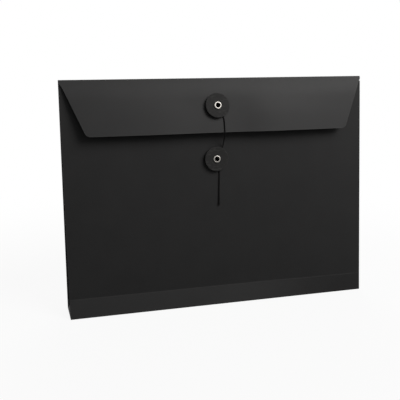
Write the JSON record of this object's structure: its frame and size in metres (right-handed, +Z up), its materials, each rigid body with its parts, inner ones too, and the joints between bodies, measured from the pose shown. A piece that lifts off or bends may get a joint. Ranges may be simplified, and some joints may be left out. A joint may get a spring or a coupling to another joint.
{
  "type": "string tie envelope",
  "caption": "Black card document envelope standing on its opened block base, with pleated side gussets and a flap tied down by a string wound between washers on eyelets.",
  "frame": {"origin": "middle of the base, on the floor", "axes": "+X along the envelope's width, to the right as seen from the front; -Y is the front with the flap; +Z up"},
  "size_m": [0.32, 0.035, 0.235],
  "materials": {
    "black_card": "matte uncoated black card with a faint fibre grain",
    "black_string": "twisted black cotton",
    "fibre_board": "pressed black fibre board",
    "backing_paper": "matte black paper",
    "nickel_plate": "bright nickel plate"
  },
  "bodies": {
    "pouch": {"back_panel": "black_card", "base_panel": "black_card", "base_rear_tab": "black_card", "front_lower_panel": "black_card", "left_gusset_rear_tab": "black_card", "right_gusset_rear_tab": "black_card", "left_gusset_front_leaf": "black_card", "left_gusset_rear_leaf": "black_card", "right_gusset_front_leaf": "black_card", "right_gusset_rear_leaf": "black_card", "left_gusset_toe": "black_card", "right_gusset_toe": "black_card", "left_base_flap": "black_card", "right_base_flap": "black_card"},
    "front": {"front_panel": "black_card", "left_gusset_front_tab": "black_card", "right_gusset_front_tab": "black_card", "lower_eyelet": "nickel_plate", "lower_backing_disc": "backing_paper"},
    "flap": {"flap": "black_card", "upper_eyelet": "nickel_plate", "upper_backing_disc": "backing_paper", "string_anchor_knot": "black_string", "string_anchor": "black_string", "string_upper_span": "black_string"},
    "upper_washer": {"upper_washer": "fibre_board"},
    "lower_washer": {"lower_washer": "fibre_board"},
    "string": {"string_lower_span": "black_string", "string_winding": "black_string", "string_tail": "black_string", "string_end_knot": "black_string"}
  },
  "joints": [
    {"name": "flap_lift", "type": "hinge", "parent": "pouch", "child": "flap", "pos_m": [0, 0.00725, 0.23475], "axis": [-1, 0, 0], "range_deg": [0, 160], "deforming": ["string_lower_span", "string_winding", "string_tail", "string_end_knot"]},
    {"name": "mouth_open", "type": "hinge", "parent": "pouch", "child": "front", "pos_m": [0, -0.01225, 0.019], "axis": [1, 0, 0], "range_deg": [0, 6], "deforming": ["left_gusset_front_leaf", "left_gusset_rear_leaf", "right_gusset_front_leaf", "right_gusset_rear_leaf"]},
    {"name": "string_drape", "type": "hinge", "parent": "flap", "child": "string", "pos_m": [0, -0.0098, 0.18151], "axis": [1, 0, 0], "range_deg": [0, 145]},
    {"name": "upper_washer_spin", "type": "hinge", "parent": "flap", "child": "upper_washer", "pos_m": [-0.0044, -0.00295, 0.20763], "axis": [0, -0.9673, 0.2538], "continuous": true},
    {"name": "lower_washer_spin", "type": "hinge", "parent": "front", "child": "lower_washer", "pos_m": [-0.0044, -0.00087, 0.15328], "axis": [0, -0.9963, 0.0863], "continuous": true}
  ],
  "couplings": [
    {"joint": "mouth_open", "follows": "flap_lift", "ratio": 0.0375},
    {"joint": "string_drape", "follows": "flap_lift", "ratio": 0.90625}
  ]
}
